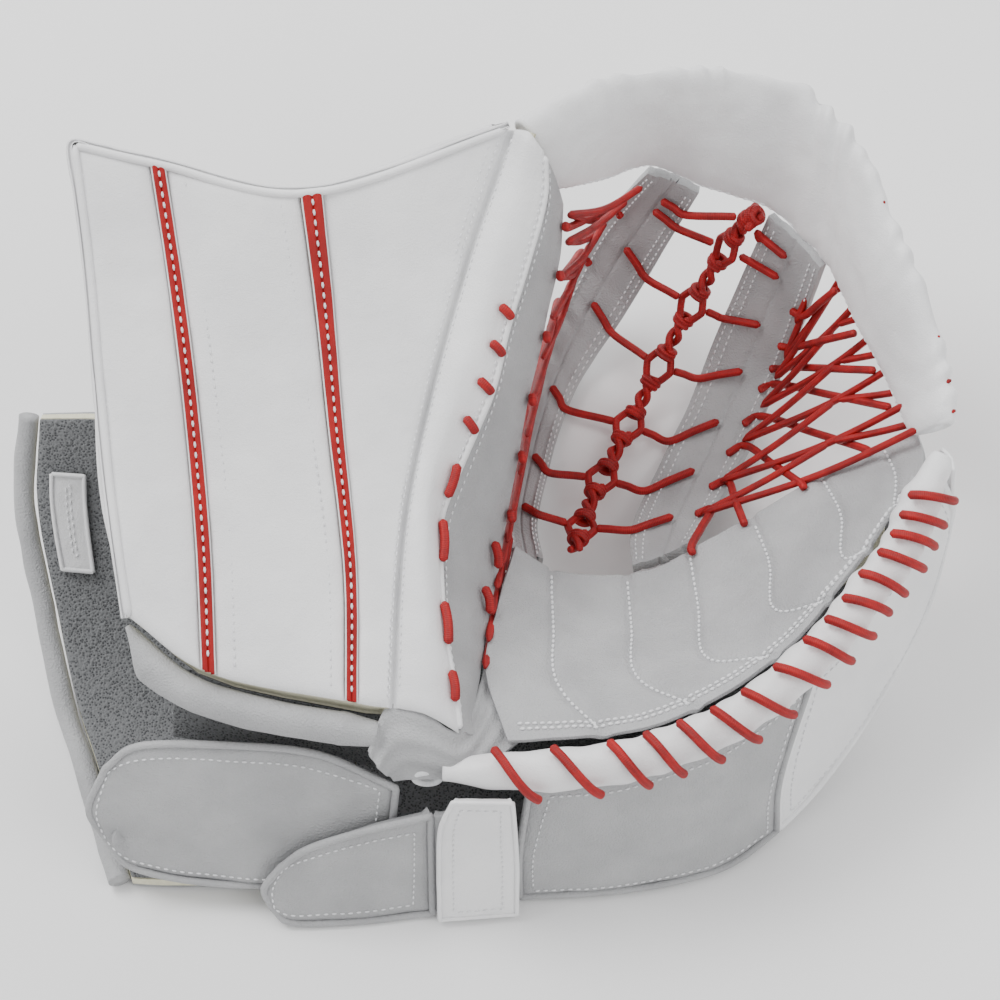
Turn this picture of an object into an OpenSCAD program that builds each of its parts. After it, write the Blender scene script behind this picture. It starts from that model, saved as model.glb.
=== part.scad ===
// Goalie catch glove, lying on its back with the pocket up.
// +X runs from the cuff to the fingertips, +Y from the straps to the top of the tee.

/* [Overall size] */
// Length from the outer edge of the cuff to the fingertips
overall_length = 395; // [330:5:480]
// Width from the straps to the top of the tee
overall_width = 325; // [270:5:390]
// Height above the surface that the glove lies on
overall_height = 214; // [178:1:257]

/* [Leather and padding] */
// Thickness of the cover leather
leather = 2; // [1.2:0.1:2.4]
// Clearance between neighbouring layers
gap = 0.3; // [0.2:0.05:0.4]
// Foam of the cuff
cuff_foam_t = 17; // [10:0.5:21]
// Plastic board inside the cuff and the back of the hand
board_t = 3; // [2:0.1:4]
// Foam of the palm
palm_foam_t = 5; // [3:0.5:6]
// Foam over the thumb
thumb_foam_t = 5; // [3:0.5:6]
// Padded wall of the finger side
shield_t = 8; // [6:0.5:10]
// Padding around the back of the wrist
wrist_foam_t = 5; // [3:0.5:6]
// Thickness of the tee at its rim, from the middle
tee_half_t = 9; // [7:0.5:11]
// Radius of the thumb stall
thumb_stall_r = 12.5; // [9:0.5:13]

/* [Trim] */
// Width of a cuff stripe
stripe_w = 6.6; // [4:0.2:9]
// Radius of the roll at the bottom of the cuff
cuff_roll_r = 9; // [7:0.5:10]
// Radius of the roll along the fingers
finger_roll_r = 10; // [8:0.5:11]
// Thickness of the pocket strips
strip_t = 4; // [3:0.2:4.6]

/* [Laces] */
// Diameter of the whip laces
lace_d = 4.6; // [3.6:0.2:5.4]
// Diameter of the pocket net laces
net_d = 4.2; // [3:0.2:4.8]
// Number of whip laces over the finger roll
whip_count = 16; // [12:1:18]

/* [Straps] */
// Thickness of the wrist strap pad
wrist_pad_t = 8; // [6:0.5:9]
// Thickness of the hand strap pad
hand_pad_t = 6; // [4:0.5:7]

/* [Hidden] */

white = "WhiteSmoke";
grey = "Gainsboro";
dark = "DimGray";
red = "Red";

// Scale from the drawn size to the chosen one
scale_x = overall_length / 395;
scale_y = overall_width / 325;
scale_z = overall_height / 214;
// Middle of the drawn points, which the origin lies under
drawn_middle = [-7, -3.2];
function place(p) =
    [(p[0] - drawn_middle[0]) * scale_x, (p[1] - drawn_middle[1]) * scale_y, p[2] * scale_z];
function rail(points) = [for (p = points) place(p)];
function shifted(points, move) = [for (p = points) p + move];

// ---------- curves and surfaces ----------
function unit(v) = v / norm(v);
function mix(a, b, t) = a + (b - a) * t;
function steps(low, high, count) = [for (i = [0:count]) mix(low, high, i / count)];

// Smooth curve through four points
function spline(a, b, c, d, t) =
    0.5 * (2 * b + (c - a) * t + (2 * a - 5 * b + 4 * c - d) * t * t
    + (3 * b - a - 3 * c + d) * t * t * t);

// Point at a share s of a smooth curve through a list of points
function along(points, s) =
    let (last = len(points) - 1)
    let (place_on = min(max(s, 0), 1) * last)
    let (i = min(floor(place_on), last - 1))
    let (before = i > 0 ? points[i - 1] : 2 * points[0] - points[1])
    let (after = i + 2 <= last ? points[i + 2] : 2 * points[last] - points[last - 1])
    spline(before, points[i], points[i + 1], after, place_on - i);

function curve(points, count) = [for (s = steps(0, 1, count)) along(points, s)];

// Surface through a list of rails: u goes from rail to rail, v along them
function surface_at(rails, u, v) = along([for (r = rails) along(r, v)], u);
function normal_at(rails, u, v) =
    let (e = 0.01)
    let (du = surface_at(rails, min(u + e, 1), v) - surface_at(rails, max(u - e, 0), v))
    let (dv = surface_at(rails, u, min(v + e, 1)) - surface_at(rails, u, max(v - e, 0)))
    unit(cross(dv, du));

// Grid of [point, normal] pairs
function grid(rails, us, vs) =
    [for (u = us) [for (v = vs) [surface_at(rails, u, v), normal_at(rails, u, v)]]];

// ---------- solids ----------
// Closed sheet between two offsets from a grid
module sheet(cells, low, high) {
    rows = len(cells) - 1;
    cols = len(cells[0]) - 1;
    m = cols + 1;
    n = m * (rows + 1);
    points = concat(
        [for (r = cells) for (c = r) c[0] + c[1] * low],
        [for (r = cells) for (c = r) c[0] + c[1] * high]);
    skins = [for (i = [0:rows - 1]) for (j = [0:cols - 1])
        let (a = i * m + j)
        let (b = a + m)
        each [[n + a, n + b, n + b + 1], [n + a, n + b + 1, n + a + 1],
            [a, b + 1, b], [a, a + 1, b + 1]]];
    edges = concat(
        [for (i = [0:rows - 1]) [i * m, (i + 1) * m]],
        [for (j = [0:cols - 1]) [rows * m + j, rows * m + j + 1]],
        [for (i = [0:rows - 1]) [(i + 1) * m + cols, i * m + cols]],
        [for (j = [0:cols - 1]) [j + 1, j]]);
    sides = [for (e = edges) each [[n + e[1], n + e[0], e[0]], [n + e[1], e[0], e[1]]]];
    polyhedron(points, concat(skins, sides), convexity = 6);
}

// Faces between rings of k points each, from the ring that starts at point first
function wall_faces(count, k, first, flip) =
    [for (i = [0:count - 2]) for (j = [0:k - 1])
        let (a = first + i * k + j)
        let (d = first + i * k + (j + 1) % k)
        each flip
            ? [[a, d + k, a + k], [a, d, d + k]]
            : [[a, a + k, d + k], [a, d + k, d]]];

// Solid through a list of rings, closed at both ends
module loft(rings) {
    k = len(rings[0]);
    count = len(rings);
    n = k * count;
    points = concat([for (r = rings) each r], [centre(rings[0]), centre(rings[count - 1])]);
    caps = [for (j = [0:k - 1])
        each [[n, j, (j + 1) % k], [n + 1, n - k + (j + 1) % k, n - k + j]]];
    polyhedron(points, concat(wall_faces(count, k, 0, false), caps), convexity = 6);
}
function centre(ring) = [for (axis = [0:2]) ring_sum(ring, axis) / len(ring)];
function ring_sum(ring, axis) = [for (p = ring) p[axis]] * [for (p = ring) 1];

// Sleeve through outer and inner rings, open at both ends
module sleeve(outer, inner) {
    k = len(outer[0]);
    count = len(outer);
    n = k * count;
    last = n - k;
    points = concat([for (r = outer) each r], [for (r = inner) each r]);
    ends = [for (j = [0:k - 1])
        let (e = (j + 1) % k)
        each [[j, e, n + e], [j, n + e, n + j],
            [last + e, last + j, n + last + j], [last + e, n + last + j, n + last + e]]];
    polyhedron(points, concat(wall_faces(count, k, 0, false),
        wall_faces(count, k, n, true), ends), convexity = 8);
}

// Directions across a path that turn with it as little as they can
function tangents(path) =
    let (last = len(path) - 1)
    [for (i = [0:last]) unit(path[min(i + 1, last)] - path[max(i - 1, 0)])];
function first_side(t) = unit(cross(t, abs(t[2]) < 0.8 ? [0, 0, 1] : [1, 0, 0]));
function sides_of(ts) =
    [for (i = 0, s = first_side(ts[0]); i < len(ts);
        i = i + 1, s = i < len(ts) ? unit(s - (s * ts[i]) * ts[i]) : s) s];

// Round rings along a path; radii holds one radius for each point
function round_rings(path, radii, k) =
    let (ts = tangents(path))
    let (ss = sides_of(ts))
    [for (i = [0:len(path) - 1]) [for (j = [0:k - 1])
        path[i] + radii[i] * (cos(360 * j / k) * ss[i] + sin(360 * j / k) * cross(ts[i], ss[i]))]];
module tube(path, r, k = 8) {
    loft(round_rings(path, [for (p = path) r], k));
}

// Bar with a flat oval section along an edge; edge holds [point, normal] pairs
module edge_band(edge, near, far, low, high) {
    last = len(edge) - 1;
    ease = (far - near) / 3;
    loft([for (i = [0:last])
        let (t = unit(edge[min(i + 1, last)][0] - edge[max(i - 1, 0)][0]))
        let (out = unit(cross(edge[i][1], t)))
        [for (c = [[near, low], [far - ease, low], [far, low + ease], [far, high - ease],
            [far - ease, high], [near, high]])
            edge[i][0] + out * c[0] + edge[i][1] * c[1]]]);
}

// ---------- cuff ----------
cuff_left = rail([[-170, 83, 210], [-164, 42, 185], [-160, 2, 162], [-155, -40, 141], [-148, -82, 119]]);
cuff_stripe_line_1 = rail([[-137, 78, 204], [-130, 38, 179], [-124, -4, 155], [-119, -52, 129], [-116, -102, 110]]);
cuff_stripe_line_2 = rail([[-76, 73, 191], [-71, 37, 167], [-66, -9, 143], [-60, -60, 118], [-59, -111, 102]]);
cuff_seam = rail([[4, 107, 188], [-12, 66, 166], [-28, 15, 142], [-40, -43, 121], [-44, -112, 99]]);
cuff_rails = [cuff_left, cuff_stripe_line_1, cuff_stripe_line_2, cuff_seam];

// Share of the cuff's width that one millimetre takes
cuff_mm = 1 / norm(along(cuff_stripe_line_2, 0.5) - along(cuff_stripe_line_1, 0.5)) / 3;
stripe_1_low = 1 / 3 - stripe_w / 2 * cuff_mm;
stripe_1_high = 1 / 3 + stripe_w / 2 * cuff_mm;
stripe_2_low = 2 / 3 - stripe_w / 2 * cuff_mm;
stripe_2_high = 2 / 3 + stripe_w / 2 * cuff_mm;
seam_gap = gap * cuff_mm * 1.5;
stripe_rise = 0.8;
// Layers with different meshes keep twice the clearance
layer_gap = 2 * gap;
cuff_foam_top = -leather - layer_gap;
cuff_board_top = cuff_foam_top - cuff_foam_t - gap;
cuff_lining_top = cuff_board_top - board_t - gap;
lining_t = 1.5;
cuff_back = cuff_lining_top - lining_t;
cuff_rows = steps(0, 1, 16);

module cuff_panel(from, to, columns) {
    color(white) sheet(grid(cuff_rails, steps(from, to, columns), cuff_rows), -leather, 0);
}
module cuff_panel_outer() {
    cuff_panel(0, stripe_1_low - seam_gap, 6);
}
module cuff_panel_centre() {
    cuff_panel(stripe_1_high + seam_gap, stripe_2_low - seam_gap, 8);
}
module cuff_panel_inner() {
    cuff_panel(stripe_2_high + seam_gap, 1, 8);
}
module cuff_stripe(from, to) {
    color(red) sheet(grid(cuff_rails, [from, to], cuff_rows), -leather, stripe_rise);
}
module cuff_stripe_outer() {
    cuff_stripe(stripe_1_low, stripe_1_high);
}
module cuff_stripe_inner() {
    cuff_stripe(stripe_2_low, stripe_2_high);
}
cuff_body = grid(cuff_rails, steps(0, 1, 10), steps(0, 1, 10));
module cuff_foam() {
    color("LightYellow") sheet(cuff_body, cuff_foam_top - cuff_foam_t, cuff_foam_top);
}
module cuff_board() {
    color(dark) sheet(cuff_body, cuff_board_top - board_t, cuff_board_top);
}
module cuff_lining() {
    color(dark) sheet(cuff_body, cuff_back, cuff_lining_top);
}
module cuff_edge_gusset() {
    left = [for (v = steps(1, 0, 10)) [surface_at(cuff_rails, 0, v), normal_at(cuff_rails, 0, v)]];
    top = [for (u = steps(0.1, 1, 9)) [surface_at(cuff_rails, u, 0), normal_at(cuff_rails, u, 0)]];
    color(white) edge_band(concat(left, top), gap, gap + 2.5, cuff_back, 0);
}
// Length of the roll past the inner stripe
cuff_roll_tail = 13;
module cuff_bottom_roll() {
    count = 20;
    us = steps(2 / 3, 0, count);
    edge = [for (u = us) [surface_at(cuff_rails, u, 1), normal_at(cuff_rails, u, 1)]];
    radii = [for (u = us) cuff_roll_r * min(1, 0.35 + 4 * u)];
    path = [for (i = [0:count])
        let (t = unit(edge[min(i + 1, count)][0] - edge[max(i - 1, 0)][0]))
        let (out = unit(cross(edge[i][1], t)))
        edge[i][0] + out * (radii[i] + layer_gap) - edge[i][1] * (cuff_roll_r + 1)];
    inner_end = path[0] + unit(path[0] - path[1]) * cuff_roll_tail;
    color(grey) loft(round_rings(concat([inner_end], path), concat([cuff_roll_r * 0.8], radii), 12));
}

// ---------- thumb ----------
thumb_seam = shifted(cuff_seam, [2, 0, 0]);
pocket_edge = rail([[18, 97, 186], [18, 83, 173], [11, 60, 160], [3, 36, 149], [-3, 13, 138], [-14, -10, 125],
    [-24, -34, 114], [-24, -58, 108], [-22, -82, 102], [-18, -103, 96], [-16, -119, 90]]);
thumb_bulge = 5;
thumb_crest = [for (v = steps(0, 1, 8))
    mix(along(thumb_seam, v), along(pocket_edge, v), 0.5) + [0, 0, thumb_bulge]];
thumb_rails = [thumb_seam, thumb_crest, pocket_edge];
thumb_cells = grid(thumb_rails, steps(0, 1, 6), steps(0, 1, 22));
thumb_foam_top = -leather - layer_gap;
module thumb_cover() {
    color(white) sheet(thumb_cells, -leather, 0);
}
module thumb_foam() {
    cells = grid(thumb_rails, steps(0.1, 0.85, 4), steps(0, 0.72, 16));
    color("LightYellow") sheet(cells, thumb_foam_top - thumb_foam_t, thumb_foam_top);
}

wall_drop = leather + gap + 0.6;
wall_top = shifted(pocket_edge, [0.5, 0, -wall_drop]);
wall_fold_1 = rail([[21, 97, 174], [21, 82, 161], [14, 59, 148], [6, 34, 136], [-1, 12, 123], [-9, -11, 105],
    [-16, -33, 99], [-19, -57, 97], [-18, -82, 96], [-15, -104, 91], [-14, -117, 87]]);
wall_fold_2 = rail([[24, 96, 161], [23, 81, 148], [17, 57, 135], [10, 32, 120], [4, 9, 104], [-2, -12, 86],
    [-8, -34, 82], [-11, -57, 84], [-12, -82, 87], [-13, -104, 87], [-12, -117, 85]]);
wall_foot = rail([[26, 96, 150], [25, 80, 137], [19, 56, 121], [12, 30, 105], [7, 8, 87], [2, -14, 68],
    [-1, -34, 68], [-5, -57, 71], [-8, -82, 76], [-11, -104, 81], [-10, -116, 83]]);
wall_rails = [wall_top, wall_fold_1, wall_fold_2, wall_foot];
module thumb_wall() {
    color(white) sheet(grid(wall_rails, steps(0, 1, 6), steps(0, 1, 22)), -leather, 0);
}

// The back of the thumb runs from the foot of the pocket wall to the back of the cuff
thumb_back_near = shifted([for (v = steps(0, 0.5, 6)) along(wall_foot, v)], [-3, 0, -3]);
thumb_back_far = rail([[-9, 116, 164], [-17, 96, 152], [-24, 76, 142], [-32, 50, 130], [-40, 25, 118],
    [-46, -2, 107], [-52, -30, 96]]);
thumb_back_drop = 14;
thumb_back_mid = [for (v = steps(0, 1, 6))
    mix(along(thumb_back_near, v), along(thumb_back_far, v), 0.5) - [0, 0, thumb_back_drop]];
thumb_back_rails = [thumb_back_near, thumb_back_mid, thumb_back_far];
module thumb_back() {
    color(white) sheet(grid(thumb_back_rails, steps(0, 1, 8), steps(0, 1, 12)), -leather, 0);
}
thumb_path = [for (v = steps(0.06, 0.9, 8))
    mix(along(thumb_crest, v * 0.5) - [0, 0, thumb_foam_t + leather],
        along(thumb_back_mid, v) + [0, 0, leather], 0.5)];
module thumb_stall() {
    path = curve(thumb_path, 12);
    color(dark) sleeve(round_rings(path, [for (p = path) thumb_stall_r], 12),
        round_rings(path, [for (p = path) thumb_stall_r - lining_t], 12));
}

// A lace that lies on a surface, from one pair of shares to another
lace_r = lace_d / 2;
function lace_on(rails, from, to, rise, count) =
    [for (t = steps(0, 1, count))
        let (u = mix(from[0], to[0], t))
        let (v = mix(from[1], to[1], t))
        surface_at(rails, u, v) + normal_at(rails, u, v) * (rise + gap + sin(180 * t) * lace_r / 2)];
module thumb_lacing() {
    color(red) {
        for (v = [0.3, 0.36, 0.42, 0.48])
            tube(lace_on(thumb_rails, [0.72, v], [0.98, v - 0.012], lace_r, 4), lace_r);
        for (v = [[0.53, 0.58], [0.62, 0.69], [0.76, 0.83], [0.88, 0.94]])
            tube(lace_on(thumb_rails, [0.88, v[0]], [0.9, v[1]], lace_r, 5), lace_r);
        for (v = [0.56, 0.66])
            tube(lace_on(wall_rails, [0.72, v], [0.9, v + 0.04], lace_r, 4), lace_r);
    }
}

// ---------- tee ----------
tee_rim_top = rail([[10, 116, 187], [42, 141, 178], [66, 149, 172], [92, 154, 166], [110, 154, 161]]);
tee_low_top = rail([[26, 106, 146], [42, 119, 132], [64, 138, 117], [86, 133, 109], [101, 131, 104]]);
tee_rim_side = rail([[130, 151, 157], [147, 133, 152], [158, 112, 145], [167, 91, 138], [176, 70, 131],
    [183, 50, 124], [188, 30, 117], [190, 14, 112]]);
tee_low_side = rail([[118, 128, 98], [139, 104, 95], [146, 88, 93], [152, 72, 92], [158, 58, 91],
    [163, 45, 90], [167, 30, 91], [170, 19, 93]]);
tee_low_half_t = 4;
tee_sides = 12;
// Teardrop rings between the rim and the lower edge, moved in from the skin by depth
function tee_rings(rim, low, depth, from, to, count) =
    [for (s = steps(from, to, count))
        let (a = along(rim, s))
        let (b = along(low, s))
        let (t = unit(along(rim, min(s + 0.02, 1)) - along(rim, max(s - 0.02, 0))))
        let (down = unit(b - a))
        let (out = unit(cross(down, t)))
        let (half = norm(b - a) / 2)
        [for (j = [0:tee_sides - 1])
            let (angle = 360 * j / tee_sides)
            let (share = (1 - cos(angle)) / 2)
            a + down * (half - (half - depth) * cos(angle))
            + out * (mix(tee_half_t, tee_low_half_t, share) - depth) * sin(angle)]];
tee_foam_in = leather + gap;
tee_core_in = tee_low_half_t - 0.6;
module tee_cover(rim, low, count) {
    color(white) sleeve(tee_rings(rim, low, 0, 0, 1, count), tee_rings(rim, low, leather, 0, 1, count));
}
module tee_foam(rim, low, count) {
    first = 1 / count;
    color("LightYellow") sleeve(tee_rings(rim, low, tee_foam_in, first, 1 - first, count - 2),
        tee_rings(rim, low, tee_core_in, first, 1 - first, count - 2));
}
// Moulded core inside the foam
module tee_core(rim, low, count) {
    first = 1 / count;
    color(dark) loft(tee_rings(rim, low, tee_core_in + gap, first, 1 - first, count - 2));
}
module tee_top_cover() {
    tee_cover(tee_rim_top, tee_low_top, 12);
}
module tee_top_foam() {
    tee_foam(tee_rim_top, tee_low_top, 12);
}
module tee_top_core() {
    tee_core(tee_rim_top, tee_low_top, 12);
}
module tee_side_cover() {
    tee_cover(tee_rim_side, tee_low_side, 16);
}
module tee_side_foam() {
    tee_foam(tee_rim_side, tee_low_side, 16);
}
module tee_side_core() {
    tee_core(tee_rim_side, tee_low_side, 16);
}
// Soft fold that fills the break, on the finger side of it
module tee_corner_gusset() {
    gusset_t = 4;
    back = tee_rings(tee_rim_side, tee_low_side, 2.5, 0, 0, 1)[0];
    step = unit(along(tee_rim_side, 0) - along(tee_rim_side, 0.02));
    color(grey) loft([[for (p = back) p + step * (gusset_t + gap)], [for (p = back) p + step * gap]]);
}

// ---------- pocket strips ----------
strip_1_left = rail([[64, 138.5, 115.6], [44, 146, 62], [29, 133, 26], [20, 116, 9], [9, 78, 5], [2, 23, 26], [3, -8, 40]]);
strip_1_right = rail([[86, 133.5, 107.6], [62, 127, 36], [45, 112, 11], [33, 93, 3.6], [22, 56, 6], [16, 12, 29], [18, -14, 40]]);
strip_2_left = rail([[118, 128, 96.6], [98, 111, 30], [84, 83, 3.8], [68, 45, 6], [57, 8, 25], [57, -15, 36]]);
strip_2_right = rail([[139.5, 103.5, 93.6], [132, 99, 44], [125, 92, 20], [113, 66, 10], [95, 24, 22], [82, -4, 36]]);
strip_1_rails = [strip_1_left, strip_1_right];
strip_2_rails = [strip_2_left, strip_2_right];
module strip(rails) {
    color(grey) sheet(grid(rails, steps(0, 1, 3), steps(0, 1, 20)), -strip_t / 2, strip_t / 2);
}
module pocket_strip_thumb() {
    strip(strip_1_rails);
}
module pocket_strip_finger() {
    strip(strip_2_rails);
}

// ---------- pocket net ----------
net_r = net_d / 2;
chain_points = rail([[112, 126, 100], [105, 127, 88], [92, 121, 58], [78, 108, 30], [64, 88, 10], [51, 60, 9],
    [39, 27, 20], [32, -4, 34]]);
chain_knot_r = 6;
chain_link_r = 3;
chain_knots = 7;
// The chain is thick at its knots and thin at the twisted links between them
module net_centre_chain() {
    count = chain_knots * 6;
    path = curve(chain_points, count);
    radii = [for (i = [0:count]) mix(chain_link_r, chain_knot_r, pow(sin(180 * i / 6), 2))];
    color(red) loft(round_rings(path, radii, 8));
}
// Share of a list of points where its curve comes closest to a target
function nearest(points, target) =
    let (tries = steps(0.03, 0.97, 47))
    let (distances = [for (s = tries) norm(along(points, s) - target)])
    tries[search(min(distances), distances)[0]];
// A rung lies across a strip and runs on to a knot of the chain
function rung(rails, edge_u, knot) =
    let (v = nearest(rails[edge_u], along(chain_points, knot)))
    let (over = [for (u = steps(0.5, edge_u, 2))
        surface_at(rails, u, v) + normal_at(rails, u, v) * (strip_t / 2 + gap + net_r)])
    let (knot_end = along(chain_points, knot))
    let (toward = unit(over[2] - knot_end))
    concat(over, [for (d = [5, 0]) knot_end + toward * (chain_knot_r + layer_gap + d)]);
module net_thumb_side() {
    color(red) {
        for (i = [0:chain_knots - 1])
            tube(rung(strip_1_rails, 1, (i + 0.5) / chain_knots), net_r);
        for (i = [0:5])
            tube(thumb_net_lace(0.05 + 0.085 * i, 0.1 + 0.125 * i), net_r);
    }
}
// A lace from the pocket wall of the thumb to the first strip
function thumb_net_lace(wall_v, strip_v) =
    let (on_wall = [for (u = [0.9, 1]) surface_at(wall_rails, u, wall_v)
        + normal_at(wall_rails, u, wall_v) * (gap + net_r)])
    let (on_strip = [for (u = [0, 0.2]) surface_at(strip_1_rails, u, strip_v)
        + normal_at(strip_1_rails, u, strip_v) * (strip_t / 2 + gap + net_r)])
    concat(on_wall, [mix(on_wall[1], on_strip[0], 0.5)], on_strip);

module net_finger_side() {
    color(red) {
        for (i = [0:chain_knots - 1])
            tube(rung(strip_2_rails, 0, (i + 0.5) / chain_knots), net_r);
        for (i = [0:3])
            tube(tee_net_lace(0.12 + 0.1 * i, 0.24 + 0.19 * i), net_r);
        for (i = [0:3])
            tube(palm_net_lace(0.54 + 0.1 * i, 0.9 - 0.14 * i), net_r);
    }
}
function on_strip_2(v) = [for (u = [0.8, 1]) surface_at(strip_2_rails, u, v)
    + normal_at(strip_2_rails, u, v) * (strip_t / 2 + gap + net_r)];
// A lace from the second strip to the lower edge of the tee
function tee_net_lace(strip_v, tee_s) =
    let (low = along(tee_low_side, tee_s))
    let (end = low + unit(low - along(tee_rim_side, tee_s)) * (gap + net_r))
    let (start = on_strip_2(strip_v))
    concat(start, [mix(start[1], end, 0.5), end]);
// A lace from the second strip to the far edge of the palm
function palm_net_lace(strip_v, palm_v) =
    let (ends = [for (u = [1, 0.95]) surface_at(palm_rails, u, palm_v)
        + normal_at(palm_rails, u, palm_v) * (gap + net_r)])
    let (start = on_strip_2(strip_v))
    concat(start, [mix(start[1], ends[0], 0.5)], ends);

// ---------- palm ----------
roll_line = rail([[-23, -130, 79], [12, -131, 80], [46, -128, 81], [67, -122, 82], [88, -114, 84], [107, -102, 87],
    [126, -85, 90], [139, -72, 93], [149, -58, 96], [160, -45, 98], [167, -32, 100], [173, -19, 103], [182, 0, 107]]);
palm_rise = 4;
palm_columns = [
    [[-6, -84, 77], [-1, -50, 69], [6, -17, 60]],
    [[31, -88, 73], [29, -56, 60], [27, -24, 49]],
    [[62, -82, 71], [61, -51, 55], [60, -21, 45]],
    [[90, -72, 71], [88, -40, 55], [85, -8, 45]],
    [[118, -52, 77], [118, -22, 62], [112, 6, 50]],
    [[147, -30, 86], [149, -4, 74], [143, 21, 62]],
    [[174, -5, 97], [177, 10, 91], [175, 25, 86]]];
// The palm starts beside the roll, a little above its middle
palm_near = [for (s = steps(0.07, 0.97, 6))
    let (p = along(roll_line, s))
    let (toward = unit(along([for (c = palm_columns) place(c[0])], (s - 0.07) / 0.9) - p))
    p + unit(toward + [0, 0, 0.25]) * (finger_roll_r + layer_gap + leather)];
palm_rails = [palm_near, rail([for (c = palm_columns) c[0]]), rail([for (c = palm_columns) c[1]]),
    rail([for (c = palm_columns) c[2]])];
palm_cells = grid(palm_rails, steps(0, 1, 10), steps(0, 1, 20));
palm_foam_top = -leather - layer_gap;
palm_lining_top = palm_foam_top - palm_foam_t - gap;
palm_back = palm_lining_top - lining_t;
palm_us = steps(0.22, 0.95, 8);
palm_vs = steps(0.03, 0.88, 14);
module palm_cover() {
    color(grey) sheet(palm_cells, -leather, 0);
}
module palm_foam() {
    color("LightYellow") sheet(grid(palm_rails, palm_us, palm_vs), palm_foam_top - palm_foam_t, palm_foam_top);
}
module palm_lining() {
    color(dark) sheet(grid(palm_rails, palm_us, palm_vs), palm_back, palm_lining_top);
}
module finger_roll() {
    count = 30;
    path = curve(roll_line, count);
    radii = [for (i = [0:count]) finger_roll_r * min(1, 0.6 + i / 6, 0.6 + (count - i) / 6)];
    color(white) loft(round_rings(path, radii, 12));
}
// Whip laces go over the roll from the palm to the finger shield
module roll_lacing() {
    reach = finger_roll_r + gap + lace_r;
    lean = 0.022;
    color(red) for (i = [0:whip_count - 1]) {
        s = mix(0.07, 0.92, i / (whip_count - 1));
        path = [for (t = steps(0, 1, 5))
            let (here = s + lean * (t * 2 - 1))
            let (ahead = unit(along(roll_line, here + 0.01) - along(roll_line, here - 0.01)))
            let (side = unit(cross(ahead, [0, 0, 1])))
            let (angle = mix(-22, 100, t))
            along(roll_line, here) + reach * (sin(angle) * side + cos(angle) * cross(side, ahead))];
        tube(path, lace_r);
    }
}

// ---------- finger box ----------
shield_top = shifted([for (s = steps(0.25 / 3, 1, 11)) along(roll_line, s)], [0, -1.5, -finger_roll_r - gap - 1.5]);
shield_mid = rail([[8, -146, 35], [30, -145, 35], [52, -143, 36], [74, -138, 37], [95, -129, 38], [113, -116, 40],
    [130, -101, 43], [145, -85, 47], [159, -67, 54], [171, -50, 62], [180, -32, 71], [188, -10, 84]]);
shield_foot = rail([[8, -152, 4], [30, -151, 4], [52, -149, 4], [74, -145, 4], [95, -138, 4], [113, -125, 5],
    [130, -109, 9], [145, -92, 17], [159, -74, 29], [171, -56, 42], [181, -37, 56], [188, -14, 74]]);
shield_rails = [shield_foot, shield_mid, shield_top];
shield_split = 0.47;
module finger_shield() {
    color(white) sheet(grid(shield_rails, steps(0, 1, 8), steps(0, shield_split, 14)), -shield_t, 0);
}
module fingertip_shell() {
    vs = steps(shield_split + 0.004, 1, 16);
    color(white) sheet(grid(shield_rails, steps(0, 1, 8), vs), -shield_t, 0);
}
// Flat plate behind the back of the hand; the glove lies on it
hand_outline = [for (p = [[-60, -139], [70, -135], [88, -129], [98, -120], [106, -106], [106, -34], [-60, -34]])
    let (here = place([p[0], p[1], 0])) [here[0], here[1]]];
hand_board_t = board_t + 1;
hand_foam_t = 6;
module hand_board() {
    color(dark) linear_extrude(hand_board_t) polygon(hand_outline);
}
module hand_back_foam() {
    color("LightYellow") translate([0, 0, hand_board_t + gap])
        linear_extrude(hand_foam_t) polygon(hand_outline);
}
module hand_back_lining() {
    color(dark) translate([0, 0, hand_board_t + hand_foam_t + 2 * gap])
        linear_extrude(lining_t) polygon(hand_outline);
}
hand_floor = hand_board_t + hand_foam_t + lining_t + 2 * gap;
base_t = 4;
base_near = rail([[106.6, -110, 6], [126, -94, 12], [140, -80, 19], [153, -64, 29], [164, -47, 41], [174, -28, 56], [180, -8, 72]]);
base_far = rail([[106.6, -31, 6], [118, -20.6, 11], [128, -10.6, 18.5], [139, -2.6, 27.5], [150, 3.4, 37.5], [161, 9.4, 49.5],
    [170, 15.4, 62.5]]);
module fingertip_base() {
    color(white) sheet(grid([base_near, base_far], steps(0, 1, 4), steps(0, 1, 12)), -base_t, 0);
}
index_top = [for (v = steps(0, 1, 6))
    surface_at(palm_rails, 0.97, v) + normal_at(palm_rails, 0.97, v) * (palm_back - 4 * gap)];
index_foot = rail([[2, -30, 6], [27, -30.5, 5], [60, -30, 5], [86, -24, 5], [112, -10, 12], [143, 6, 33], [172, 18, 64]]);
module index_wall() {
    color(white) sheet(grid([index_top, index_foot], steps(0, 1, 4), steps(0, 0.96, 18)), -3, 0);
}
module fingertip_end() {
    top = rail([[189, -1.8, 98], [188, 5, 98], [185, 11, 96]]);
    foot = rail([[190, -9.8, 80], [184, 4, 74], [176, 16, 69]]);
    color(white) sheet(grid([foot, top], steps(0, 1, 3), steps(0, 1, 4)), -2, 0);
}
// Walls between the fingers, from the back lining to the palm lining
module finger_dividers() {
    color(dark) for (u = [0.3, 0.52, 0.74]) {
        top = [for (v = steps(0.12, 0.62, 6))
            surface_at(palm_rails, u, v) + normal_at(palm_rails, u, v) * (palm_back - gap - 0.4)];
        foot = [for (p = top) [p[0], p[1], hand_floor + gap]];
        sheet(grid([foot, top], steps(0, 1, 2), steps(0, 1, 8)), -lining_t / 2, lining_t / 2);
    }
}

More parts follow.
